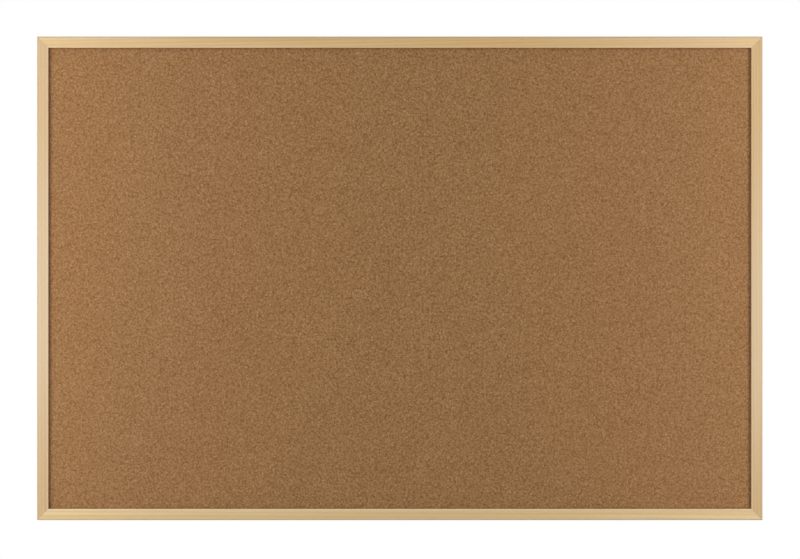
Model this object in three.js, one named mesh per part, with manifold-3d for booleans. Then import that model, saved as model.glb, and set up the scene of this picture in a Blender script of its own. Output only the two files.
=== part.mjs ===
// Framed cork board. A mitred pine frame holds a panel of cork, fibreboard and liner in its groove, V-nails
// tie the mitres from behind, and two ring hangers on the back of the stiles carry it on the wall.
// Millimetres, +Z up. The board faces -Y, and the origin is the middle of the top rail's rear face.

import * as THREE from "three";
import { mergeVertices } from "three/addons/utils/BufferGeometryUtils.js";
import Module from "manifold-3d";

// Board, over the frame
const BOARD_WIDTH = 900;
const BOARD_HEIGHT = 600;

// Pine moulding in section
const FACE_WIDTH = 14; // outer edge to sight edge
const GROOVE_DEPTH = 5; // how far the groove reaches into the moulding
const FRONT_LIP = 4.2; // wood in front of the groove
const REAR_LIP = 3.7; // wood behind the groove
const OUTER_ROUND = 1.5; // eased front edge on the outside
const SIGHT_ROUND = 1.2; // eased front edge beside the cork
const SIGHT_LAND = 0.8; // least flat of the sight edge under its round
const REAR_ROUND = 0.6; // eased rear edge on the outside

// Panel layers, front to back
const CORK_THICKNESS = 2;
const CORE_THICKNESS = 6;
const LINER_THICKNESS = 0.6;
const CORK_PINCH = 0.3; // how far the front lip presses the cork's border in
const PINCH_BORDER = 0.6; // pressed border that shows beside the sight edge

// V-nails, one across each mitre
const V_NAIL_WING = 5.5;
const V_NAIL_TIP = 1; // turned-out end of each wing
const V_NAIL_THICKNESS = 0.5;
const V_NAIL_HEIGHT = 10;
const V_NAIL_SINK = 0.3; // below the rear face
const V_NAIL_INSET = 3.4; // apex from both outer edges

// Ring hangers
const HANGER_DROP = 90; // top edge to the hinge axis
const HANGER_WOOD = 0.8; // wood left between the screw's hole and the groove
const STRAP_WIDTH = 7;
const STRAP_THICKNESS = 0.8;
const STRAP_TAIL = 6; // strap beyond the screw
const STRAP_CORNER = 3; // round corners of the tail
const NECK_SLOPE = THREE.MathUtils.degToRad(50); // between the eye and the upper leaf
const RING_WIRE = 1.8; // wire diameter
const RING_BEND = 1.5; // centre-line radius of the corners beside the eye
const RING_LEG = 7; // hinge axis to the centre of the bow
const RING_BUTT = 0.4; // open joint of the wire, inside the eye

// Hanger screws
const SCREW_OFFSET = 7.8; // hinge axis to the screw
const SCREW_SHANK = 2.9; // shank diameter
const SCREW_LENGTH = 12; // under the head
const SCREW_POINT = 3;
const SCREW_HEAD = 5.6; // head diameter
const SCREW_HEAD_HEIGHT = 1.9;
const SCREW_HEAD_RIM = 0.5; // straight edge under the dome
const RECESS_WIDTH = 0.8; // cross recess
const RECESS_LENGTH = 3;
const RECESS_DEPTH = 0.9;

// Clearances
const MITRE_GAP = 0.06; // glue between two mitred faces
const GLUE_LINE = 0.1; // between the panel's layers
const PANEL_PLAY = 0.3; // panel to the groove's front and rear, and to its floor below
const EXPANSION_PLAY = 0.8; // panel to the groove's floor at the top and sides
const CUT_GAP = 0.25; // around what is driven into the wood, and screw to strap; cutters overrun by it too
const FOLD_GAP = 0.1; // between the strap's two leaves
const EYE_PLAY = 0.3; // ring wire to eye
const RING_SIDE_PLAY = 0.3; // strap edge to the ring's corner bends
const RING_REST_GAP = 0.3; // ring to the wood it leans on

// Smoothness
const ARC_STEPS = 6; // steps in an eased edge
const EYE_STEPS = 28; // steps round the strap's eye
const WIRE_STEPS = 64; // steps along the ring's wire
const WIRE_SIDES = 10;
const SCREW_SIDES = 24;

// Finishes
const PINE = { color: 0xd2b386, roughness: 0.6, metalness: 0 };
const CORK = { color: 0x946e49, roughness: 0.9, metalness: 0 };
const FIBREBOARD = { color: 0xb79c78, roughness: 0.95, metalness: 0 };
const KRAFT = { color: 0xa98a63, roughness: 0.9, metalness: 0 };
const ZINC_PLATE = { color: 0xbfc2c4, roughness: 0.35, metalness: 1 };
const NAIL_STEEL = { color: 0x9ea1a3, roughness: 0.5, metalness: 1 };

// Derived sizes
const borderCork = CORK_THICKNESS - CORK_PINCH;
const panelDepth = borderCork + CORE_THICKNESS + LINER_THICKNESS + 2 * GLUE_LINE;
const frameDepth = FRONT_LIP + panelDepth + 2 * PANEL_PLAY + REAR_LIP;
const sightWidth = BOARD_WIDTH - 2 * FACE_WIDTH;
const sightHeight = BOARD_HEIGHT - 2 * FACE_WIDTH;
const panelWidth = sightWidth + 2 * (GROOVE_DEPTH - EXPANSION_PLAY);
const panelHeight = sightHeight + 2 * GROOVE_DEPTH - EXPANSION_PLAY - PANEL_PLAY;
const panelShift = (PANEL_PLAY - EXPANSION_PLAY) / 2; // the panel rests on the bottom rail
const eyeRadius = RING_WIRE / 2 + EYE_PLAY;
const eyeHeight = STRAP_THICKNESS + eyeRadius; // hinge axis above the frame's rear face
const strapStack = 2 * STRAP_THICKNESS + FOLD_GAP; // the two leaves under the screw head
const screwHoleRadius = SCREW_SHANK / 2 + CUT_GAP;
const hangerInset = FACE_WIDTH - GROOVE_DEPTH - HANGER_WOOD - screwHoleRadius; // from the outer edge
const strapReach = SCREW_OFFSET + STRAP_TAIL; // hinge axis to the end of the tail
const ringHalfWidth = STRAP_WIDTH / 2 + RING_SIDE_PLAY + RING_BEND;
const ringReach = RING_LEG + ringHalfWidth;
const ringLean = Math.asin((eyeHeight - RING_WIRE / 2 - RING_REST_GAP) / ringReach);

const wasm = await Module();
wasm.setup();

// Closed mesh to solid: shared corners are welded, and the empty triangles at a revolve's poles are left out
function toSolid(geometry) {
  const shell = geometry.clone();
  shell.deleteAttribute("normal");
  shell.deleteAttribute("uv");
  const welded = mergeVertices(shell);
  const corners = welded.index.array;
  const triVerts = [];
  for (let i = 0; i < corners.length; i += 3) {
    const [a, b, c] = corners.slice(i, i + 3);
    if (a !== b && b !== c && c !== a) triVerts.push(a, b, c);
  }
  const mesh = new wasm.Mesh({
    numProp: 3,
    vertProperties: welded.attributes.position.array,
    triVerts: new Uint32Array(triVerts),
  });
  return new wasm.Manifold(mesh);
}

function toGeometry(solid) {
  const { vertProperties, triVerts } = solid.getMesh();
  const geometry = new THREE.BufferGeometry();
  geometry.setAttribute("position", new THREE.BufferAttribute(vertProperties, 3));
  geometry.setIndex(new THREE.BufferAttribute(triVerts, 1));
  geometry.computeVertexNormals();
  return geometry;
}

function cut(geometry, cutters) {
  const solid = cutters.reduce((rest, cutter) => rest.subtract(toSolid(cutter)), toSolid(geometry));
  return toGeometry(solid);
}

function extrude(shape, depth) {
  return new THREE.ExtrudeGeometry(shape, { depth, bevelEnabled: false, curveSegments: ARC_STEPS });
}

// A flat shape drawn in X and Z, from the plane y = 0 forwards
function extrudeForwards(shape, depth) {
  return extrude(shape, depth).rotateX(Math.PI / 2);
}

// Outline of a bent strip: its centre line offset to both sides, with mitred bends
function stripOutline(line, thickness) {
  const headings = line.slice(1).map((point, i) => point.clone().sub(line[i]).normalize());
  const left = [];
  const right = [];
  line.forEach((point, i) => {
    const before = headings[Math.max(i - 1, 0)];
    const after = headings[Math.min(i, headings.length - 1)];
    const along = before.clone().add(after).normalize();
    const side = new THREE.Vector2(-along.y, along.x).multiplyScalar(thickness / 2 / along.dot(before));
    left.push(point.clone().add(side));
    right.push(point.clone().sub(side));
  });
  return new THREE.Shape([...left, ...right.reverse()]);
}

// Moulding section: x runs inwards from the outer edge, y runs forwards from the rear face
function mouldingSection() {
  const grooveFloor = FACE_WIDTH - GROOVE_DEPTH;
  const grooveFront = frameDepth - FRONT_LIP;
  const sightRound = Math.min(SIGHT_ROUND, FRONT_LIP - SIGHT_LAND);
  const section = new THREE.Shape();
  section.moveTo(REAR_ROUND, 0);
  section.lineTo(FACE_WIDTH, 0);
  section.lineTo(FACE_WIDTH, REAR_LIP);
  section.lineTo(grooveFloor, REAR_LIP);
  section.lineTo(grooveFloor, grooveFront);
  section.lineTo(FACE_WIDTH, grooveFront);
  section.absarc(FACE_WIDTH - sightRound, frameDepth - sightRound, sightRound, 0, Math.PI / 2);
  section.absarc(OUTER_ROUND, frameDepth - OUTER_ROUND, OUTER_ROUND, Math.PI / 2, Math.PI);
  section.absarc(REAR_ROUND, REAR_ROUND, REAR_ROUND, Math.PI, 1.5 * Math.PI);
  return section;
}

// Mitred length along X, its outer edge at z = 0 and its rear face at y = 0. Each point of the section runs
// the full length, less its own distance from the outer edge at both ends.
function mitredLength(length) {
  const geometry = extrude(mouldingSection(), 1);
  const points = geometry.attributes.position;
  const setback = MITRE_GAP / Math.SQRT2;
  for (let i = 0; i < points.count; i++) {
    const inwards = points.getX(i);
    const halfLength = length / 2 - setback - inwards;
    points.setXYZ(i, (1 - 2 * points.getZ(i)) * halfLength, -points.getY(i), -inwards);
  }
  return geometry;
}

// V-nail, or the slot around it, with the frame's outer corner at the origin and the wood towards -X and -Z
function vNail(gap, height) {
  const knee = V_NAIL_INSET + V_NAIL_WING;
  const turn = (V_NAIL_TIP + gap) / Math.SQRT2;
  const line = [
    new THREE.Vector2(-knee - turn, turn - V_NAIL_INSET),
    new THREE.Vector2(-knee, -V_NAIL_INSET),
    new THREE.Vector2(-V_NAIL_INSET, -V_NAIL_INSET),
    new THREE.Vector2(-V_NAIL_INSET, -knee),
    new THREE.Vector2(turn - V_NAIL_INSET, -knee - turn),
  ];
  return extrudeForwards(stripOutline(line, V_NAIL_THICKNESS + 2 * gap), height);
}

function vNailSlot() {
  const depth = V_NAIL_SINK + V_NAIL_HEIGHT + CUT_GAP;
  return vNail(CUT_GAP, depth + CUT_GAP).translate(0, CUT_GAP, 0);
}

// Frame member with a V-nail slot at each end, and the further holes that it has
function frameMember(length, holes) {
  const endSlot = vNailSlot().translate(length / 2, 0, 0);
  const startSlot = vNailSlot().rotateY(-Math.PI / 2).translate(-length / 2, 0, 0);
  return cut(mitredLength(length), [endSlot, startSlot, ...holes]);
}

// Hole for the screw's shank, open at y = 0
function screwHole(depth) {
  const hole = new THREE.CylinderGeometry(screwHoleRadius, screwHoleRadius, depth + CUT_GAP, SCREW_SIDES);
  return hole.translate(0, (CUT_GAP - depth) / 2, 0);
}

// Cork sheet with its rear face at y = 0: its border is pressed thin where it runs under the front lip
function corkSheet() {
  const border = panelLayer(borderCork);
  const fieldWidth = sightWidth - 2 * PINCH_BORDER;
  const fieldHeight = sightHeight - 2 * PINCH_BORDER;
  const field = new THREE.BoxGeometry(fieldWidth, CORK_THICKNESS, fieldHeight);
  field.translate(0, -CORK_THICKNESS / 2, -panelShift);
  return toGeometry(toSolid(border).add(toSolid(field)));
}

// Flat layer of the panel with its rear face at y = 0
function panelLayer(thickness) {
  return new THREE.BoxGeometry(panelWidth, thickness, panelHeight).translate(0, -thickness / 2, 0);
}

// Centre line of the folded strap from its side: x runs up the frame and y out from it. The lower leaf rolls
// round the eye, and a sloping neck brings the upper leaf back on to it.
function strapLine() {
  const lowerLeaf = STRAP_THICKNESS / 2;
  const upperLeaf = strapStack - lowerLeaf;
  const roll = eyeRadius + lowerLeaf;
  const rollSweep = Math.PI + NECK_SLOPE;
  const tailEnd = -strapReach - CUT_GAP;
  const line = [new THREE.Vector2(tailEnd, lowerLeaf)];
  for (let i = 0; i <= EYE_STEPS; i++) {
    const angle = (rollSweep * i) / EYE_STEPS - Math.PI / 2;
    line.push(new THREE.Vector2(roll * Math.cos(angle), eyeHeight + roll * Math.sin(angle)));
  }
  const rollEnd = line.at(-1);
  const neckRun = (rollEnd.y - upperLeaf) / Math.tan(NECK_SLOPE);
  line.push(new THREE.Vector2(rollEnd.x - neckRun, upperLeaf));
  line.push(new THREE.Vector2(tailEnd, upperLeaf));
  return line;
}

// Strap outline from behind: straight sides and a round-cornered tail
function strapPlan() {
  const half = STRAP_WIDTH / 2;
  const corner = Math.min(STRAP_CORNER, half);
  const top = eyeRadius + STRAP_THICKNESS + CUT_GAP;
  const plan = new THREE.Shape();
  plan.moveTo(half, top);
  plan.lineTo(-half, top);
  plan.absarc(corner - half, corner - strapReach, corner, Math.PI, 1.5 * Math.PI);
  plan.absarc(half - corner, corner - strapReach, corner, 1.5 * Math.PI, 2 * Math.PI);
  return plan;
}

// Folded strap on the plane y = 0, its hinge axis along X above the origin
function hangerStrap() {
  const wideStrip = STRAP_WIDTH + 2 * CUT_GAP;
  const folded = extrude(stripOutline(strapLine(), STRAP_THICKNESS), wideStrip);
  folded.translate(0, 0, -wideStrip / 2).rotateY(-Math.PI / 2);
  const height = eyeHeight + eyeRadius + STRAP_THICKNESS + 2 * CUT_GAP;
  const plan = extrudeForwards(strapPlan(), height).translate(0, height - CUT_GAP, 0);
  const hole = screwHole(strapStack + CUT_GAP).translate(0, strapStack, -SCREW_OFFSET);
  return toGeometry(toSolid(folded).intersect(toSolid(plan)).subtract(toSolid(hole)));
}

// Wire ring in the plane y = 0, its bar along the hinge axis X and its bow towards +Z
function hangerRing() {
  const barEnd = ringHalfWidth - RING_BEND;
  const wire = new THREE.Path();
  wire.moveTo(RING_BUTT / 2, 0);
  wire.absarc(barEnd, RING_BEND, RING_BEND, -Math.PI / 2, 0);
  wire.absarc(0, RING_LEG, ringHalfWidth, 0, Math.PI);
  wire.absarc(-barEnd, RING_BEND, RING_BEND, Math.PI, 1.5 * Math.PI);
  wire.lineTo(-RING_BUTT / 2, 0);
  const points = wire.getSpacedPoints(WIRE_STEPS).map((point) => new THREE.Vector3(point.x, 0, point.y));
  const section = new THREE.Shape().absarc(0, 0, RING_WIRE / 2, 0, 2 * Math.PI);
  return new THREE.ExtrudeGeometry(section, {
    steps: WIRE_STEPS,
    curveSegments: WIRE_SIDES / 2,
    extrudePath: new THREE.CatmullRomCurve3(points),
  });
}

// Pan-head screw pointing forwards, with the underside of its head at y = 0 and a cross recess
function hangerScrew() {
  const profile = new THREE.Path();
  profile.moveTo(0, -SCREW_LENGTH);
  profile.lineTo(SCREW_SHANK / 2, SCREW_POINT - SCREW_LENGTH);
  profile.lineTo(SCREW_SHANK / 2, 0);
  profile.lineTo(SCREW_HEAD / 2, 0);
  const dome = SCREW_HEAD_HEIGHT - SCREW_HEAD_RIM;
  profile.absellipse(0, SCREW_HEAD_RIM, SCREW_HEAD / 2, dome, 0, Math.PI / 2);
  const turned = new THREE.LatheGeometry(profile.getPoints(ARC_STEPS), SCREW_SIDES);
  const recessHeight = RECESS_DEPTH + CUT_GAP;
  const slots = [0, Math.PI / 2].map((turn) => {
    const slot = new THREE.BoxGeometry(RECESS_LENGTH, recessHeight, RECESS_WIDTH);
    return slot.rotateY(turn).translate(0, SCREW_HEAD_HEIGHT - RECESS_DEPTH + recessHeight / 2, 0);
  });
  return cut(turned, slots);
}

function piece(name, geometry, finish) {
  const mesh = new THREE.Mesh(geometry, new THREE.MeshStandardMaterial(finish));
  mesh.name = name;
  return mesh;
}

// The four members, turned about Y so that their outer edges face up, right, down and left
function frame() {
  const group = new THREE.Group();
  const screwAlong = BOARD_HEIGHT / 2 - HANGER_DROP - SCREW_OFFSET;
  const stile = (along) => {
    const pilot = screwHole(SCREW_LENGTH - strapStack + CUT_GAP).translate(along, 0, -hangerInset);
    return frameMember(BOARD_HEIGHT, [pilot]);
  };
  const topRail = piece("top_rail", frameMember(BOARD_WIDTH, []), PINE);
  topRail.position.z = BOARD_HEIGHT / 2;
  const rightStile = piece("right_stile", stile(-screwAlong), PINE);
  rightStile.position.x = BOARD_WIDTH / 2;
  rightStile.rotation.y = Math.PI / 2;
  const bottomRail = piece("bottom_rail", frameMember(BOARD_WIDTH, []), PINE);
  bottomRail.position.z = -BOARD_HEIGHT / 2;
  bottomRail.rotation.y = Math.PI;
  const leftStile = piece("left_stile", stile(screwAlong), PINE);
  leftStile.position.x = -BOARD_WIDTH / 2;
  leftStile.rotation.y = -Math.PI / 2;
  return group.add(topRail, rightStile, bottomRail, leftStile);
}

// One V-nail in each corner, a quarter turn from the last
function vNails() {
  const group = new THREE.Group();
  const corners = [
    ["top_right", 1, 1],
    ["bottom_right", 1, -1],
    ["bottom_left", -1, -1],
    ["top_left", -1, 1],
  ];
  corners.forEach(([corner, across, up], quarter) => {
    const nail = piece(`${corner}_v_nail`, vNail(0, V_NAIL_HEIGHT), NAIL_STEEL);
    nail.position.set((across * BOARD_WIDTH) / 2, -V_NAIL_SINK, (up * BOARD_HEIGHT) / 2);
    nail.rotation.y = (quarter * Math.PI) / 2;
    group.add(nail);
  });
  return group;
}

// Liner, core and cork, each laid on the one behind it
function panel() {
  const group = new THREE.Group();
  const liner = piece("backing_liner", panelLayer(LINER_THICKNESS), KRAFT);
  const core = piece("core_board", panelLayer(CORE_THICKNESS), FIBREBOARD);
  const cork = piece("cork_sheet", corkSheet(), CORK);
  liner.position.y = -REAR_LIP - PANEL_PLAY;
  core.position.y = liner.position.y - LINER_THICKNESS - GLUE_LINE;
  cork.position.y = core.position.y - CORE_THICKNESS - GLUE_LINE;
  group.position.z = panelShift;
  return group.add(liner, core, cork);
}

// Strap, ring and screw, with the foot of the hinge axis at the group's origin
function hanger(side) {
  const group = new THREE.Group();
  const strap = piece(`${side}_hanger_strap`, hangerStrap(), ZINC_PLATE);
  const ring = piece(`${side}_hanger_ring`, hangerRing(), ZINC_PLATE);
  ring.position.y = eyeHeight;
  ring.rotation.x = ringLean;
  const screw = piece(`${side}_hanger_screw`, hangerScrew(), ZINC_PLATE);
  screw.position.set(0, strapStack, -SCREW_OFFSET);
  return group.add(strap, ring, screw);
}

function hangers() {
  const group = new THREE.Group();
  const outwards = BOARD_WIDTH / 2 - hangerInset;
  const left = hanger("left");
  const right = hanger("right");
  left.position.x = -outwards;
  right.position.x = outwards;
  group.position.z = BOARD_HEIGHT / 2 - HANGER_DROP;
  return group.add(left, right);
}

const board = new THREE.Group();
board.add(frame(), vNails(), panel(), hangers());
board.position.z = (FACE_WIDTH - BOARD_HEIGHT) / 2;

const model = new THREE.Group();
model.add(board);

export default model;
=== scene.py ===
import math
from typing import NamedTuple

import bpy
import bmesh
import numpy as np
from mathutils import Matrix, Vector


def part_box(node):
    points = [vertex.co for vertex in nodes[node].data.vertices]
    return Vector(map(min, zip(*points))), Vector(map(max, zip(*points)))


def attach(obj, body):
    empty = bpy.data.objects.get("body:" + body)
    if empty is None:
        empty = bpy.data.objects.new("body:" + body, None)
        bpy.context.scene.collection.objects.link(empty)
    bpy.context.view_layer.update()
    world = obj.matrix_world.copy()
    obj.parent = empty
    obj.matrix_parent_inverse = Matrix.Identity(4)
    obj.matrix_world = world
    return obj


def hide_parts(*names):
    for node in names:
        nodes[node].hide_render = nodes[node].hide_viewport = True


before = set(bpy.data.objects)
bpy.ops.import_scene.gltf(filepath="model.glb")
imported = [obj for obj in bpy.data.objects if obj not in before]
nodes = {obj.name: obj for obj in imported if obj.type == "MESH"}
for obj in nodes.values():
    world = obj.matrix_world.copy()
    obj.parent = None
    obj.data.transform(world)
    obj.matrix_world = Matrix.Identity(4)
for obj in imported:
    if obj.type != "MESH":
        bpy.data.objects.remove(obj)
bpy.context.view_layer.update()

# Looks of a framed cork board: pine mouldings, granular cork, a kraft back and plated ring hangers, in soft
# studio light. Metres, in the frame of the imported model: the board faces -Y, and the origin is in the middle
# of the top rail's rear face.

MM = 0.001

# The photograph's size and the frame's outer edges in it, in pixels
PHOTO_WIDTH = 800
PHOTO_HEIGHT = 559
PHOTO_LEFT = 37.0
PHOTO_RIGHT = 762.6
PHOTO_TOP = 36.6
PHOTO_BOTTOM = 520.1

# Camera
CAMERA_DISTANCE = 4.0  # in front of the frame
SENSOR_WIDTH = 36.0  # millimetres

# Light: a softbox at each side of the front, a broad one behind, and an even ambient level
LAMP_SIDE = 0.95  # from the board's middle
LAMP_AHEAD = 0.5  # in front of the frame
LAMP_RAISE = 0.22  # above the board's middle
LAMP_HEIGHT = 1.45
LAMP_YAW = math.radians(28)
LEFT_WIDTH = 0.44
LEFT_POWER = 8.45  # watts, as for the other two
RIGHT_WIDTH = 0.28
RIGHT_POWER = 7.15
REAR_DISTANCE = 1.8  # behind the board
REAR_SIZE = 2.4
REAR_POWER = 24.0
AMBIENT = 0.51

# Floor
FLOOR_DROP = 0.4  # below the board
FLOOR_RADIUS = 1.0
FLOOR_SIDES = 96
FLOOR_FADE = 0.3  # from its middle to where it starts to pass into the white beyond
FLOOR_LIFT = 0.5  # share of plain white in what is seen of it
FLOOR_TONE = 0.82

# Easing of the solids' edges
WOOD_EASE = 0.1 * MM
NAIL_EASE = 0.08 * MM
HANGER_EASE = 0.12 * MM
EASE_SEGMENTS = 2
WELD_REACH = 0.001 * MM
FLAT_ANGLE = math.radians(1)  # facets that differ by less become one face
EASED_ANGLE = math.radians(35)  # edges that turn by more are eased

# Relief of the cork's face and of the liner's back. Grids are rows and columns, and margins are cells.
CORK_GRID = (251, 379)
CORK_SEED = 11
CORK_GRAIN = 0.05 * MM  # spread of the relief that changes from point to point
CORK_SWELL = 0.04 * MM  # spread of the softer relief
CORK_SWELL_PASSES = 2
CORK_LIMIT = 0.18 * MM
CORK_MARGIN = 2
LINER_GRID = (97, 145)
LINER_SEED = 5
LINER_COCKLE = 0.12 * MM
LINER_COCKLE_PASSES = 120
LINER_COCKLE_LIMIT = 2  # times its spread
LINER_COCKLE_MARGIN = 10
LINER_FELT = 0.01 * MM
LINER_FELT_PASSES = 1
LINER_MARGIN = 3
LEVEL = 0.01 * MM  # points closer than this count as level
SHEET_SHARP_ANGLE = math.radians(40)
BAKE_MAP = "OFBake"  # the map through which a sheet's texture is baked
FACE_SHARE = 0.94  # of that map, taken by the face

# Places in the frame
frame_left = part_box("left_stile")[0].x
frame_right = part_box("right_stile")[1].x
frame_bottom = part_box("bottom_rail")[0].z
frame_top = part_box("top_rail")[1].z
frame_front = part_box("top_rail")[0].y
face_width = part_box("left_stile")[1].x - frame_left
middle_x = (frame_left + frame_right) / 2
middle_z = (frame_bottom + frame_top) / 2
half_width = (frame_right - frame_left) / 2
half_height = (frame_top - frame_bottom) / 2


def srgb(red, green, blue):
    """Linear colour of an 8-bit one."""
    shares = [value / 255 for value in (red, green, blue)]
    linear = [s / 12.92 if s <= 0.04045 else ((s + 0.055) / 1.055) ** 2.4 for s in shares]
    return (*linear, 1.0)


# Textures: a scale is in cells per metre, a stretch is the scale along the pattern, a warp is the scale and
# reach of the noise that bends it, a range is the pair of values between which the pattern sets in, and a
# share says how much of a colour covers what is under it.
NOISE_RANGE = (0.3, 0.7)  # most of a noise's values lie between these

# Pine
PALE_WOOD = (1.04, 1.06, 1.1)  # a share of a member's mean colour, as are the next two
WARM_WOOD = (0.99, 0.93, 0.87)
LATE_WOOD = (0.78, 0.68, 0.58)
# Pale colour of the painted highlights: along each member, standing in for the side lamps' sheen, and on its
# sight edge
PAINTED_HIGHLIGHT_WOOD = srgb(228, 222, 200)
# Grey-brown of the painted shade along the frame's outer front edge, where it turns away from the lamps
PAINTED_EDGE_SHADE = srgb(166, 148, 120)
FLECKED_WOOD = srgb(150, 106, 62)
GRAIN_LEAN = (0, math.radians(0.5), math.radians(-0.7))  # from a member's length
GRAIN_STRETCH = 0.025
BAND_SCALE = 150
BAND_STRETCH = 0.4  # on top of the grain's, as is the flecks'
BAND_RANGE = (0.36, 0.66)
RING_SCALE = 90  # of the wave: about 3.5 mm from ring to ring
LATEWOOD_SHARE = 0.38
FIBRE_SCALE = 3400
FLECK_SCALE = 1500
FLECK_STRETCH = 4
FLECK_RANGE = (0.72, 0.8)
FLECK_SHARE = 0.45
PINE_RELIEF_SCALE = 1100
PINE_RELIEF = 0.05 * MM
PINE_ROUGHNESS = (0.66, 0.54)
PINE_SPECULAR = 0.3

# Painted shade and highlights on the pine's front edges: how far they reach, and where they are full
FRONT_PAINT_REACH = (2 * MM, 0.4 * MM)  # behind the front
OUTER_SHADE_REACH = (2.4 * MM, 0.2 * MM)  # inwards from the outside
SIGHT_HIGHLIGHT_REACH = (2.4 * MM, 0.8 * MM)  # outwards from the sight edge
EDGE_SHADE_SHARES = (0.85, 0.45)  # on dark fibres and on pale ones
HIGHLIGHT_SPAN = (0.1, 0.9)  # of half a member, over which its painted highlight changes


class Member(NamedTuple):
    """Looks of one length of the frame."""
    upright: bool
    pith: tuple  # its place from the pith line of its tree: along the line, and two ways across it
    wood: tuple  # mean colour
    sight_highlight: float  # share of painted highlight on the sight edge
    middle_highlight: float = 0.0  # share of painted highlight in the middle
    end_highlight: float = 0.0  # the same at the ends
    highlight_drop: float = 0.0  # how far that middle lies below a stile's own


MEMBERS = {
    "top_rail": Member(
        upright=False, pith=(0.3, 0.034, 0.021), wood=srgb(206, 172, 120), sight_highlight=0.14, end_highlight=0.12,
    ),
    "bottom_rail": Member(
        upright=False, pith=(1.7, -0.03, 0.63), wood=srgb(212, 187, 139), sight_highlight=0.24, middle_highlight=0.02,
    ),
    "left_stile": Member(
        upright=True, pith=(0.9, 0.028, -0.47), wood=srgb(194, 162, 119), sight_highlight=0.34,
        middle_highlight=0.25, end_highlight=0.05, highlight_drop=0.03,
    ),
    "right_stile": Member(
        upright=True, pith=(2.6, 0.03, 0.41), wood=srgb(194, 161, 114), sight_highlight=0.2,
        middle_highlight=0.23, end_highlight=0.05, highlight_drop=0.06,
    ),
}

# Cork
CORK_TONES = (
    (0.0, srgb(137, 100, 60)), (0.16, srgb(155, 116, 75)), (0.4, srgb(165, 126, 84)),
    (0.7, srgb(171, 132, 90)), (0.92, srgb(179, 139, 98)), (1.0, srgb(190, 152, 110)),
)
DEEP_CORK = srgb(102, 61, 15)  # between the granules
BARK = srgb(90, 58, 28)
PALE_CHIP = srgb(186, 150, 110)
WARM_CORK = srgb(160, 112, 74)
WARM_SPAN = (0.1, 0.95)  # of half the board, over which the cork gets warmer
WARM_SHARE = 0.2
GRANULE_SCALE = 640
GRANULE_WARPS = ((700, 0.4 * MM), (2400, 0.16 * MM))
SEAM_WIDTH = 0.12  # of a granule
SEAM_SHARE = 0.34
CHIP_SCALE = 300
CHIP_WARP = (500, 0.8 * MM)
CHIP_EDGE = (0.36, 0.28)  # of a cell, from its middle
BARK_RANGE = (0.84, 0.88)  # about one chip in seven
BARK_SHARE = 0.6
PALE_RANGE = (0.9, 0.94)  # about one chip in twelve
PALE_SHARE = 0.36
LUMP_SCALE = 350
LUMP_WARP = (700, 0.5 * MM)
LUMP_RANGE = (0.1, 0.75)
LUMP_SHARE = 0.4
CRUMB_SCALE = 1700
CRUMB_RANGE = (0.8, 0.2)
CRUMB_SHARE = 0.16
CORK_CLOUD_SCALE = 28
CORK_CLOUD_SHARE = 0.045
PORE_SCALE = 2600
PORE_RANGE = (0.42, 0.3)
PORE_SHARE = 0.34
CORK_RELIEF = 0.12 * MM
CORK_ROUGHNESS = (0.84, 0.95)
CORK_SPECULAR = 0.2

# Kraft liner
KRAFT_TONES = ((0.3, srgb(166, 136, 98)), (0.7, srgb(177, 146, 106)))
KRAFT_CLOUD_SCALE = 34
STREAKED_KRAFT = srgb(150, 119, 82)
STREAK_SCALE = 420
STREAK_STRETCH = 0.04
STREAK_SHARE = 0.22
FELT_SCALE = 1500
STRAND_TONES = {  # by the way that the loose fibres lie, in degrees
    8: srgb(198, 170, 130), -37: srgb(134, 104, 70), 52: srgb(196, 168, 128), -74: srgb(138, 108, 74),
}
STRAND_SCALE = 4200
STRAND_STRETCH = 0.1
STRAND_WARP = (190, 1.6 * MM)
STRAND_RANGE = (0.66, 0.8)
STRAND_SHARE = 0.24
KRAFT_RELIEF = 0.03 * MM
KRAFT_ROUGHNESS = (0.78, 0.92)
KRAFT_SPECULAR = 0.25

# Fibreboard
MAT_TONES = ((0.3, srgb(142, 112, 76)), (0.5, srgb(178, 150, 112)), (0.7, srgb(204, 178, 140)))
MAT_SCALE = 380
MAT_WARP = (160, 4 * MM)
DARK_BUNDLE = srgb(122, 92, 60)
BUNDLE_SCALE = 520
BUNDLE_STRETCH = 0.2
BUNDLE_TURN = (0, 0.6, 0)
BUNDLE_RANGE = (0.64, 0.74)
BUNDLE_SHARE = 0.5
MAT_RELIEF = 0.2 * MM
MAT_ROUGHNESS = (0.97, 0.86)
MAT_SPECULAR = 0.2

# Plated steel
PLATE_CLOUD_SCALE = 350
SCRATCH_SCALE = 6000
SCRATCH_STRETCH = 0.08
SCRATCH_TURN = (0.4, 0.9, 0.2)
SCRATCH_RELIEF = 0.01 * MM
PLATE_WEAR_RANGE = (0.6, 1.4)


def add(tree, kind, inputs=None, **settings):
    """New shader node. An input takes a number, a colour or another node's output."""
    made = tree.nodes.new("ShaderNode" + kind)
    for name, value in settings.items():
        setattr(made, name, value)
    for name, value in (inputs or {}).items():
        connect(tree, value, made.inputs[name])
    return made


def connect(tree, value, socket):
    """Links another node's output to a socket, or sets a plain value on it."""
    if isinstance(value, bpy.types.NodeSocket):
        tree.links.new(value, socket)
    else:
        socket.default_value = value


def blend(tree, share, first, second, how="MIX"):
    """Colour between two others."""
    made = tree.nodes.new("ShaderNodeMix")
    made.data_type = "RGBA"
    made.blend_type = how
    colours = [s for s in made.inputs if s.type == "RGBA"]
    connect(tree, share, made.inputs[0])
    connect(tree, first, colours[0])
    connect(tree, second, colours[1])
    return next(s for s in made.outputs if s.type == "RGBA")


def math_node(tree, operation, first, second=0.0):
    """Result of one operation on numbers."""
    made = add(tree, "Math", operation=operation)
    connect(tree, first, made.inputs[0])
    connect(tree, second, made.inputs[1])
    return made.outputs["Value"]


def masked(tree, colour, mask, share, over):
    """Colour with another laid over it where a mask is 1, by that share."""
    return blend(tree, math_node(tree, "MULTIPLY", mask, share), colour, over)


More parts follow.
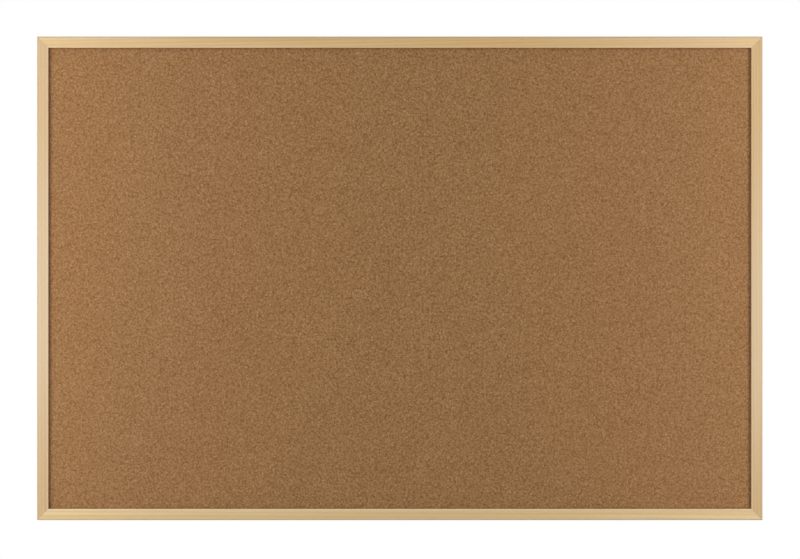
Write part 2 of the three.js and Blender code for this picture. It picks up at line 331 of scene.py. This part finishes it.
def fade(tree, value, start, end, low=0.0, high=1.0):
    """Smooth step from low to high as a value goes from start to end."""
    inputs = {"Value": value, "From Min": start, "From Max": end, "To Min": low, "To Max": high}
    return add(tree, "MapRange", inputs, interpolation_type="SMOOTHSTEP").outputs["Result"]


def over_noise(tree, value, low, high):
    """Smooth step from low to high over the usual values of a noise."""
    return fade(tree, value, *NOISE_RANGE, low, high)


def ramp(tree, value, *stops):
    """Colour ramp with (place, colour) stops."""
    made = add(tree, "ValToRGB", {"Fac": value})
    stop_list = made.color_ramp.elements
    while len(stop_list) < len(stops):
        stop_list.new(1.0)
    for element, (place, colour) in zip(stop_list, stops):
        element.position = place
        element.color = colour
    return made.outputs["Color"]


def grey(level):
    """Neutral colour of that linear level."""
    return (level, level, level, 1.0)


def tint(colour, red, green, blue):
    """Linear colour with its parts scaled."""
    return (colour[0] * red, colour[1] * green, colour[2] * blue, 1.0)


def noise(tree, place, scale, detail=2.0, roughness=0.5):
    """Smooth noise, for the most part within NOISE_RANGE."""
    inputs = {"Vector": place, "Scale": scale, "Detail": detail, "Roughness": roughness}
    return add(tree, "TexNoise", inputs).outputs["Fac"]


def cells(tree, place, scale, **settings):
    """Outputs of a pattern of irregular cells."""
    return add(tree, "TexVoronoi", {"Vector": place, "Scale": scale}, **settings).outputs


def three_picks(tree, colour):
    """The parts of a cell's random colour, as three random numbers."""
    return add(tree, "SeparateColor", {0: colour}).outputs


def moved(tree, place, location=(0, 0, 0), rotation=(0, 0, 0), scale=(1, 1, 1)):
    """Coordinates scaled, then turned, then shifted."""
    inputs = {"Vector": place, "Location": location, "Rotation": rotation, "Scale": scale}
    return add(tree, "Mapping", inputs).outputs["Vector"]


def stretched(tree, place, stretch, rotation=(0, 0, 0)):
    """Coordinates scaled along X, which draws a pattern out where the stretch is under 1, then turned."""
    return moved(tree, place, rotation=rotation, scale=(stretch, 1, 1))


def warped(tree, place, scale, reach):
    """Coordinates pushed about by a noise of that scale, by up to reach."""
    push = add(tree, "TexNoise", {"Vector": place, "Scale": scale, "Detail": 1.0}).outputs["Color"]
    centred = add(tree, "VectorMath", {0: push, 1: (0.5, 0.5, 0.5)}, operation="SUBTRACT").outputs[0]
    scaled = add(tree, "VectorMath", {0: centred, "Scale": 2 * reach}, operation="SCALE").outputs[0]
    return add(tree, "VectorMath", {0: place, 1: scaled}, operation="ADD").outputs[0]


def bump(tree, height, distance, strength):
    """Normal of a surface with fine relief."""
    inputs = {"Height": height, "Distance": distance, "Strength": strength}
    return add(tree, "Bump", inputs).outputs["Normal"]


def new_material(name, **sockets):
    """Material with its shader's constant sockets set, its node tree, shader and object coordinates."""
    material = bpy.data.materials.new(name)
    material.use_nodes = True
    tree = material.node_tree
    shader = tree.nodes["Principled BSDF"]
    for socket, value in sockets.items():
        shader.inputs[socket.replace("_", " ")].default_value = value
    place = add(tree, "TexCoord").outputs["Object"]
    return material, tree, shader, place


def finish_surface(tree, shader, colour, roughness, normal):
    """Joins what varies over a surface to its shader."""
    connect(tree, colour, shader.inputs["Base Color"])
    connect(tree, roughness, shader.inputs["Roughness"])
    connect(tree, normal, shader.inputs["Normal"])


def off_middle(tree, place):
    """Distances from the board's middle, across and up, and the depth."""
    parts = add(tree, "SeparateXYZ", {0: place}).outputs
    across = math_node(tree, "ABSOLUTE", math_node(tree, "SUBTRACT", parts["X"], middle_x))
    up = math_node(tree, "ABSOLUTE", math_node(tree, "SUBTRACT", parts["Z"], middle_z))
    return across, up, parts["Y"]


def arrises(tree, place):
    """Masks of the frame's front edges: the outer one, for painted shade, and the sight edge, for a painted
    highlight.
    """
    across, up, depth = off_middle(tree, place)
    from_side = math_node(tree, "SUBTRACT", half_width, across)
    from_end = math_node(tree, "SUBTRACT", half_height, up)
    inwards = math_node(tree, "MINIMUM", from_side, from_end)
    near_front = fade(tree, depth, *(frame_front + reach for reach in FRONT_PAINT_REACH))
    near_outside = fade(tree, inwards, *OUTER_SHADE_REACH)
    near_sight = fade(tree, inwards, *(face_width - reach for reach in SIGHT_HIGHLIGHT_REACH))
    outer = math_node(tree, "MULTIPLY", near_front, near_outside)
    sight = math_node(tree, "MULTIPLY", near_front, near_sight)
    return outer, sight


def painted_highlight(tree, place, member):
    """Share of painted highlight, standing in for the side lamps' sheen, from a member's middle to its ends.
    """
    if member.upright:
        axis, start, half = "Z", middle_z - member.highlight_drop, half_height
    else:
        axis, start, half = "X", middle_x, half_width
    along = math_node(tree, "SUBTRACT", add(tree, "SeparateXYZ", {0: place}).outputs[axis], start)
    distance = math_node(tree, "ABSOLUTE", along)
    span = (share * half for share in HIGHLIGHT_SPAN)
    return fade(tree, distance, *span, member.middle_highlight, member.end_highlight)


def along_grain(tree, place, member):
    """Coordinates from a member's pith line, with X along the grain and drawn out along it."""
    turn = (0, math.pi / 2, 0) if member.upright else (0, 0, 0)
    lengthwise = moved(tree, place, rotation=turn)
    from_pith = moved(tree, lengthwise, location=member.pith, rotation=GRAIN_LEAN)
    return stretched(tree, from_pith, GRAIN_STRETCH)


def latewood(tree, grain):
    """Mask of the darker wood with which each growth ring ends."""
    rings = add(tree, "TexWave", {
        "Vector": grain, "Scale": RING_SCALE, "Distortion": 2.5, "Detail": 2.0, "Detail Scale": 1.2,
    }, wave_type="RINGS", rings_direction="X", wave_profile="SAW").outputs["Fac"]
    return ramp(tree, rings, (0.0, grey(0.6)), (0.05, grey(0)), (0.62, grey(0)), (0.96, grey(1)))


def clear_pine(tree, grain, fibres, wood):
    """Colour of fresh pine: pale and warm bands, growth rings, fibres and short flecks."""
    pale, warm, late = (tint(wood, *share) for share in (PALE_WOOD, WARM_WOOD, LATE_WOOD))
    bands = noise(tree, stretched(tree, grain, BAND_STRETCH), BAND_SCALE)
    colour = blend(tree, fade(tree, bands, *BAND_RANGE), pale, warm)
    colour = masked(tree, colour, latewood(tree, grain), LATEWOOD_SHARE, late)
    shade = ramp(tree, fibres, (0.3, grey(0.9)), (0.65, grey(1.0)))
    colour = blend(tree, 1.0, colour, shade, "MULTIPLY")
    flecks = noise(tree, stretched(tree, grain, FLECK_STRETCH), FLECK_SCALE, 1.0)
    return blend(tree, fade(tree, flecks, *FLECK_RANGE, 0.0, FLECK_SHARE), colour, FLECKED_WOOD)


def pine(name, member):
    """Straight-grained pine, with painted highlights along its length and on its sight edge, and painted shade
    on its outer edge.
    """
    material, tree, shader, place = new_material("pine_" + name, Specular_IOR_Level=PINE_SPECULAR)
    grain = along_grain(tree, place, member)
    fibres = noise(tree, grain, FIBRE_SCALE, 4.0, 0.65)
    colour = clear_pine(tree, grain, fibres, member.wood)
    # Painted highlight along each member, standing in for the sheen of the side lamps
    colour = blend(tree, painted_highlight(tree, place, member), colour, PAINTED_HIGHLIGHT_WOOD)
    outer, sight = arrises(tree, place)
    # Painted shade along the outer front edge, standing in for its turning away from the lamps
    colour = masked(tree, colour, outer, over_noise(tree, fibres, *EDGE_SHADE_SHARES), PAINTED_EDGE_SHADE)
    # Painted highlight along the sight edge
    colour = masked(tree, colour, sight, member.sight_highlight, PAINTED_HIGHLIGHT_WOOD)
    roughness = over_noise(tree, fibres, *PINE_ROUGHNESS)
    relief = noise(tree, grain, PINE_RELIEF_SCALE)
    finish_surface(tree, shader, colour, roughness, bump(tree, relief, PINE_RELIEF, 0.5))
    return material


def with_chips(tree, place, colour):
    """Colour of cork with chips of dark bark and of pale cork among its granules."""
    chips = cells(tree, warped(tree, place, *CHIP_WARP), CHIP_SCALE)
    pick = three_picks(tree, chips["Color"])
    chip = fade(tree, chips["Distance"], *CHIP_EDGE)
    bark = math_node(tree, "MULTIPLY", chip, fade(tree, pick["Green"], *BARK_RANGE))
    pale = math_node(tree, "MULTIPLY", chip, fade(tree, pick["Blue"], *PALE_RANGE))
    colour = masked(tree, colour, bark, BARK_SHARE, BARK)
    return masked(tree, colour, pale, PALE_SHARE, PALE_CHIP)


def warmer_sides(tree, place, colour):
    """Colour of cork that gets warmer from the board's middle to its sides."""
    across, _, _ = off_middle(tree, place)
    span = (share * half_width for share in WARM_SPAN)
    return blend(tree, fade(tree, across, *span, 0.0, WARM_SHARE), colour, WARM_CORK)


def with_hollows(tree, place, loose, pores, colour):
    """Colour of cork, deeper between its lumps, on some crumbs, in broad clouds and in its pores."""
    laid = moved(tree, warped(tree, place, *LUMP_WARP), rotation=(math.pi / 2, 0, 0))
    lumps = cells(tree, laid, LUMP_SCALE, voronoi_dimensions="2D")["Distance"]
    crumbs = cells(tree, loose, CRUMB_SCALE)["Color"]
    clouds = noise(tree, place, CORK_CLOUD_SCALE, 1.0)
    depths = (
        fade(tree, lumps, *LUMP_RANGE, 0.0, LUMP_SHARE),
        fade(tree, crumbs, *CRUMB_RANGE, 0.0, CRUMB_SHARE),
        over_noise(tree, clouds, 0.0, CORK_CLOUD_SHARE),
        fade(tree, pores, *PORE_RANGE, 0.0, PORE_SHARE),
    )
    for depth in depths:
        colour = blend(tree, depth, colour, DEEP_CORK)
    return colour


def cork():
    """Fine agglomerated cork: granules of many browns pressed together, with dark seams between them."""
    material, tree, shader, place = new_material("granular_cork", Specular_IOR_Level=CORK_SPECULAR)
    loose = place
    for warp in GRANULE_WARPS:
        loose = warped(tree, loose, *warp)
    pick = three_picks(tree, cells(tree, loose, GRANULE_SCALE)["Color"])
    edge = cells(tree, loose, GRANULE_SCALE, feature="DISTANCE_TO_EDGE")["Distance"]
    seam = fade(tree, edge, 0.0, SEAM_WIDTH, 1.0, 0.0)
    pores = noise(tree, place, PORE_SCALE, 2.0, 0.6)
    colour = ramp(tree, pick["Red"], *CORK_TONES)
    colour = masked(tree, colour, seam, SEAM_SHARE, DEEP_CORK)
    colour = with_chips(tree, place, colour)
    colour = warmer_sides(tree, place, colour)
    colour = with_hollows(tree, place, loose, pores, colour)
    roughness = fade(tree, pick["Green"], 0.0, 1.0, *CORK_ROUGHNESS)
    height = math_node(tree, "ADD", math_node(tree, "SUBTRACT", pick["Red"], seam), pores)
    finish_surface(tree, shader, colour, roughness, bump(tree, height, CORK_RELIEF, 0.5))
    return material


def kraft():
    """Kraft liner: a fine mottled felt with faint streaks along its length and loose fibres every way."""
    material, tree, shader, place = new_material("kraft_liner", Specular_IOR_Level=KRAFT_SPECULAR)
    clouds = noise(tree, place, KRAFT_CLOUD_SCALE, 5.0, 0.65)
    colour = ramp(tree, clouds, *KRAFT_TONES)
    streaks = noise(tree, stretched(tree, place, STREAK_STRETCH), STREAK_SCALE)
    colour = blend(tree, over_noise(tree, streaks, 0.0, STREAK_SHARE), colour, STREAKED_KRAFT)
    felt = noise(tree, place, FELT_SCALE, 3.0, 0.7)
    shade = ramp(tree, felt, (0.3, grey(0.86)), (0.7, grey(1.0)))
    colour = blend(tree, 1.0, colour, shade, "MULTIPLY")
    curled = warped(tree, place, *STRAND_WARP)
    for turn, tone in STRAND_TONES.items():
        turned = moved(tree, curled, rotation=(0, math.radians(turn), 0))
        strands = noise(tree, stretched(tree, turned, STRAND_STRETCH), STRAND_SCALE, 0.0)
        colour = blend(tree, fade(tree, strands, *STRAND_RANGE, 0.0, STRAND_SHARE), colour, tone)
    roughness = over_noise(tree, felt, *KRAFT_ROUGHNESS)
    finish_surface(tree, shader, colour, roughness, bump(tree, felt, KRAFT_RELIEF, 0.4))
    return material


def fibreboard():
    """Soft fibreboard: matted wood fibres with coarse dark bundles."""
    material, tree, shader, place = new_material("soft_fibreboard", Specular_IOR_Level=MAT_SPECULAR)
    mat = noise(tree, warped(tree, place, *MAT_WARP), MAT_SCALE, 4.0, 0.65)
    colour = ramp(tree, mat, *MAT_TONES)
    bundles = noise(tree, stretched(tree, place, BUNDLE_STRETCH, BUNDLE_TURN), BUNDLE_SCALE, 1.0)
    colour = blend(tree, fade(tree, bundles, *BUNDLE_RANGE, 0.0, BUNDLE_SHARE), colour, DARK_BUNDLE)
    roughness = over_noise(tree, mat, *MAT_ROUGHNESS)
    finish_surface(tree, shader, colour, roughness, bump(tree, mat, MAT_RELIEF, 0.5))
    return material


def plated_steel(name, light, dark, smooth, rough):
    """Zinc-plated steel: cloudy tone and gloss, with fine tumbling scratches."""
    material, tree, shader, place = new_material(name, Metallic=1.0)
    clouds = noise(tree, place, PLATE_CLOUD_SCALE, 3.0, 0.6)
    colour = ramp(tree, clouds, (0.3, dark), (0.65, light))
    scratches = noise(tree, stretched(tree, place, SCRATCH_STRETCH, SCRATCH_TURN), SCRATCH_SCALE)
    wear = math_node(tree, "ADD", clouds, scratches)
    roughness = fade(tree, wear, *PLATE_WEAR_RANGE, smooth, rough)
    finish_surface(tree, shader, colour, roughness, bump(tree, scratches, SCRATCH_RELIEF, 0.3))
    return material


def dress(name, material):
    """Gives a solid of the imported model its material."""
    piece = nodes[name]
    piece.data.materials.clear()
    piece.data.materials.append(material)
    return piece


def ease_edges(piece, width):
    """Welds the facets, joins the flat ones and rounds the sharp edges a little."""
    piece.data.shade_smooth()
    weld = piece.modifiers.new("weld", "WELD")
    weld.merge_threshold = WELD_REACH
    join = piece.modifiers.new("flat_faces", "DECIMATE")
    join.decimate_type = "DISSOLVE"
    join.angle_limit = FLAT_ANGLE
    ease = piece.modifiers.new("eased_edges", "BEVEL")
    ease.width = width
    ease.segments = EASE_SEGMENTS
    ease.limit_method = "ANGLE"
    ease.angle_limit = EASED_ANGLE
    even = piece.modifiers.new("even_normals", "WEIGHTED_NORMAL")
    even.keep_sharp = True


def soft_noise(rng, shape, passes):
    """Random field of unit spread, smoothed over its neighbours."""
    field = rng.standard_normal(shape)
    for _ in range(passes):
        field = (4 * field + sum(np.roll(field, step, axis) for step in (-1, 1) for axis in (0, 1))) / 8
    return field / field.std()


def edge_fade(shape, margin):
    """Field that is 0 on the border and 1 from that many cells inwards."""
    rows, columns = (np.minimum(np.arange(n), np.arange(n)[::-1]) / margin for n in shape)
    return np.minimum(1, np.minimum.outer(rows, columns))


def cork_relief():
    """Depths of the cork's grain, which is level at the border."""
    rng = np.random.default_rng(CORK_SEED)
    relief = CORK_GRAIN * soft_noise(rng, CORK_GRID, 0)
    relief += CORK_SWELL * soft_noise(rng, CORK_GRID, CORK_SWELL_PASSES)
    return np.clip(relief, -CORK_LIMIT, CORK_LIMIT) * edge_fade(CORK_GRID, CORK_MARGIN)


def liner_relief():
    """Depths of the liner's cockle and felt, which is level at the border."""
    rng = np.random.default_rng(LINER_SEED)
    cockle = soft_noise(rng, LINER_GRID, LINER_COCKLE_PASSES)
    cockle = np.clip(cockle, -LINER_COCKLE_LIMIT, LINER_COCKLE_LIMIT)
    relief = LINER_COCKLE * cockle * edge_fade(LINER_GRID, LINER_COCKLE_MARGIN)
    relief += LINER_FELT * soft_noise(rng, LINER_GRID, LINER_FELT_PASSES)
    return relief * edge_fade(LINER_GRID, LINER_MARGIN)


def border_cells(rows, columns):
    """Row and column of each point along a grid's edge, in order from its first corner."""
    last_row = rows - 1
    last_column = columns - 1
    lower = [(0, c) for c in range(last_column)]
    right = [(r, last_column) for r in range(last_row)]
    upper = [(last_row, c) for c in range(last_column, 0, -1)]
    left = [(r, 0) for r in range(last_row, 0, -1)]
    return lower + right + upper + left


def lay_on_map(face, bake, places):
    """Gives a face's corners their places on the bake map."""
    for loop, place in zip(face.loops, places):
        loop[bake].uv = place


def relief_face(work, bake, low, high, face_y, relief):
    """Points and faces of a grid of relief from low to high (x, z)."""
    rows, columns = relief.shape
    across = np.linspace(low[0], high[0], columns)
    up = np.linspace(low[1], high[1], rows)
    grid = [
        [work.verts.new((x, face_y + relief[r, c], z)) for c, x in enumerate(across)]
        for r, z in enumerate(up)
    ]
    for r in range(rows - 1):
        for c in range(columns - 1):
            corners = [(r, c), (r, c + 1), (r + 1, c + 1), (r + 1, c)]
            face = work.faces.new([grid[i][j] for i, j in corners])
            lay_on_map(face, bake, [(j / (columns - 1), i / (rows - 1) * FACE_SHARE) for i, j in corners])
    return grid


def skirt_loop(work, shape, low, high, y):
    """Points of a loop from low to high (x, z) at y, one for each point of a grid's edge."""
    rows, columns = shape
    loop = []
    for r, c in border_cells(rows, columns):
        x = low[0] + (high[0] - low[0]) * c / (columns - 1)
        z = low[1] + (high[1] - low[1]) * r / (rows - 1)
        loop.append(work.verts.new((x, y, z)))
    return loop


def join_loops(work, bake, inner, outer, base, top):
    """Band of faces between two loops, on a strip of the bake map from base to top."""
    count = len(inner)
    for i in range(count):
        j = (i + 1) % count
        face = work.faces.new([inner[i], inner[j], outer[j], outer[i]])
        first = i / count
        last = (i + 1) / count
        lay_on_map(face, bake, [(first, base), (last, base), (last, top), (first, top)])


def relief_sheet(name, low, high, face_y, relief, skirts):
    """Closed sheet whose face is a relief from low to high (x, z), closed by loops of (low, high, y)."""
    rows, columns = relief.shape
    work = bmesh.new()
    bake = work.loops.layers.uv.new(BAKE_MAP)
    grid = relief_face(work, bake, low, high, face_y, relief)
    ring = border_cells(rows, columns)
    edge = [grid[r][c] for r, c in ring]
    strip = (1 - FACE_SHARE) / (2 * len(skirts) + 2)
    base = FACE_SHARE + strip / 2
    for skirt in skirts:
        outer = skirt_loop(work, relief.shape, *skirt)
        join_loops(work, bake, edge, outer, base, base + strip)
        edge = outer
        base += strip
    back = work.faces.new(edge)
    base += strip / 2
    lay_on_map(back, bake, [(c / (columns - 1), base + (1 - base) * r / (rows - 1)) for r, c in ring])
    bmesh.ops.recalc_face_normals(work, faces=work.faces)
    mesh = bpy.data.meshes.new(name)
    work.to_mesh(mesh)
    work.free()
    mesh.shade_smooth()
    mesh.set_sharp_from_angle(angle=SHEET_SHARP_ANGLE)
    piece = bpy.data.objects.new(name, mesh)
    bpy.context.scene.collection.objects.link(piece)
    return piece


def in_plane(corner):
    """The x and z of a corner."""
    return corner.x, corner.z


def cork_face():
    """Cork sheet whose face has the relief of its grain, pressed in along the border by the frame's lips."""
    low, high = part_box("cork_sheet")
    points = [v.co for v in nodes["cork_sheet"].data.vertices]
    field = [p for p in points if p.y < low.y + LEVEL]
    border_y = min(p.y for p in points if abs(p.x - low.x) < LEVEL)
    field_low = min(p.x for p in field), min(p.z for p in field)
    field_high = max(p.x for p in field), max(p.z for p in field)
    panel = in_plane(low), in_plane(high)
    piece = relief_sheet("cork", field_low, field_high, low.y, cork_relief(), [
        (field_low, field_high, border_y), (*panel, border_y), (*panel, high.y),
    ])
    piece.data.materials.append(cork())
    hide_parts("cork_sheet")
    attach(piece, "board")


def liner_back():
    """Kraft liner that has cockled a little between the rear lips."""
    low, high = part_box("backing_liner")
    panel = in_plane(low), in_plane(high)
    piece = relief_sheet("kraft_back", *panel, high.y, liner_relief(), [(*panel, low.y)])
    piece.data.materials.append(kraft())
    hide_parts("backing_liner")
    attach(piece, "board")


def frame_members():
    """Four pine members, each cut from its own part of the tree."""
    for name, member in MEMBERS.items():
        ease_edges(dress(name, pine(name, member)), WOOD_EASE)


def hardware():
    """V-nails and ring hangers."""
    nail = plated_steel(
        "nail_steel", light=srgb(176, 178, 180), dark=srgb(128, 130, 132), smooth=0.38, rough=0.55,
    )
    zinc = plated_steel(
        "zinc_plate", light=srgb(184, 187, 190), dark=srgb(142, 145, 148), smooth=0.24, rough=0.42,
    )
    for name in nodes:
        if name.endswith("_v_nail"):
            ease_edges(dress(name, nail), NAIL_EASE)
        elif "_hanger_" in name:
            ease_edges(dress(name, zinc), HANGER_EASE)


def build_camera():
    """Camera square to the board, framed as in the photograph."""
    metres_per_pixel = (frame_right - frame_left) / (PHOTO_RIGHT - PHOTO_LEFT)
    data = bpy.data.cameras.new("camera")
    data.sensor_fit = "HORIZONTAL"
    data.sensor_width = SENSOR_WIDTH
    data.lens = SENSOR_WIDTH * CAMERA_DISTANCE / (PHOTO_WIDTH * metres_per_pixel)
    camera = bpy.data.objects.new("camera", data)
    right = (PHOTO_WIDTH - PHOTO_LEFT - PHOTO_RIGHT) / 2 * metres_per_pixel
    down = (PHOTO_HEIGHT - PHOTO_TOP - PHOTO_BOTTOM) / 2 * metres_per_pixel
    camera.location = (middle_x + right, frame_front - CAMERA_DISTANCE, middle_z - down)
    camera.rotation_euler = (math.pi / 2, 0, 0)
    bpy.context.scene.collection.objects.link(camera)
    bpy.context.scene.camera = camera


def softbox(name, place, yaw, width, height, power):
    """Upright softbox that faces +Y, turned by yaw."""
    data = bpy.data.lights.new(name, "AREA")
    data.shape = "RECTANGLE"
    data.size = width
    data.size_y = height
    data.energy = power
    lamp = bpy.data.objects.new(name, data)
    lamp.location = place
    lamp.rotation_euler = (math.pi / 2, 0, yaw)
    lamp.visible_camera = False
    bpy.context.scene.collection.objects.link(lamp)


def build_lamps():
    """Three softboxes at one height: left and right of the front, and behind."""
    front_y = frame_front - LAMP_AHEAD
    lamp_z = middle_z + LAMP_RAISE
    left = (middle_x - LAMP_SIDE, front_y, lamp_z)
    right = (middle_x + LAMP_SIDE, front_y, lamp_z)
    rear = (middle_x, REAR_DISTANCE, lamp_z)
    softbox("left_softbox", left, -LAMP_YAW, LEFT_WIDTH, LAMP_HEIGHT, LEFT_POWER)
    softbox("right_softbox", right, LAMP_YAW, RIGHT_WIDTH, LAMP_HEIGHT, RIGHT_POWER)
    softbox("rear_softbox", rear, math.pi, REAR_SIZE, REAR_SIZE, REAR_POWER)


def seen_rays(tree):
    """1 for rays that show the surroundings: camera, glossy and transmission rays."""
    rays = add(tree, "LightPath").outputs
    mirrored = math_node(tree, "MAXIMUM", rays["Is Glossy Ray"], rays["Is Transmission Ray"])
    return math_node(tree, "MAXIMUM", rays["Is Camera Ray"], mirrored)


def build_world():
    """Plain white surroundings, which light the board at the ambient level."""
    world = bpy.data.worlds.new("studio")
    world.use_nodes = True
    tree = world.node_tree
    background = tree.nodes["Background"]
    background.inputs["Color"].default_value = grey(1.0)
    strength = fade(tree, seen_rays(tree), 0.0, 1.0, AMBIENT, 1.0)
    connect(tree, strength, background.inputs["Strength"])
    bpy.context.scene.world = world


def floor_material():
    """Pale matt floor, which keeps the shadow and passes into the white beyond."""
    material = bpy.data.materials.new("floor")
    material.use_nodes = True
    tree = material.node_tree
    tree.nodes.remove(tree.nodes["Principled BSDF"])
    matt = add(tree, "BsdfDiffuse", {"Color": grey(FLOOR_TONE)}).outputs["BSDF"]
    white = add(tree, "Emission", {"Color": grey(1.0), "Strength": 1.0}).outputs["Emission"]
    place = add(tree, "TexCoord").outputs["Object"]
    distance = add(tree, "VectorMath", {0: place}, operation="LENGTH").outputs["Value"]
    share = fade(tree, distance, FLOOR_FADE, FLOOR_RADIUS, FLOOR_LIFT, 1.0)
    share = math_node(tree, "MULTIPLY", share, seen_rays(tree))
    mixed = add(tree, "MixShader", {0: share, 1: matt, 2: white}).outputs["Shader"]
    connect(tree, mixed, tree.nodes["Material Output"].inputs["Surface"])
    return material


def build_floor():
    """Round floor below the board."""
    bpy.ops.mesh.primitive_circle_add(vertices=FLOOR_SIDES, radius=FLOOR_RADIUS, fill_type="NGON")
    floor = bpy.context.object
    floor.name = "floor"
    floor.location = (middle_x, 0, frame_bottom - FLOOR_DROP)
    floor.data.materials.append(floor_material())


def build_stage():
    """Camera, surroundings, floor and lamps."""
    bpy.context.scene.view_settings.view_transform = "Standard"
    build_camera()
    build_world()
    build_floor()
    build_lamps()


frame_members()
cork_face()
liner_back()
dress("core_board", fibreboard())
hardware()
build_stage()
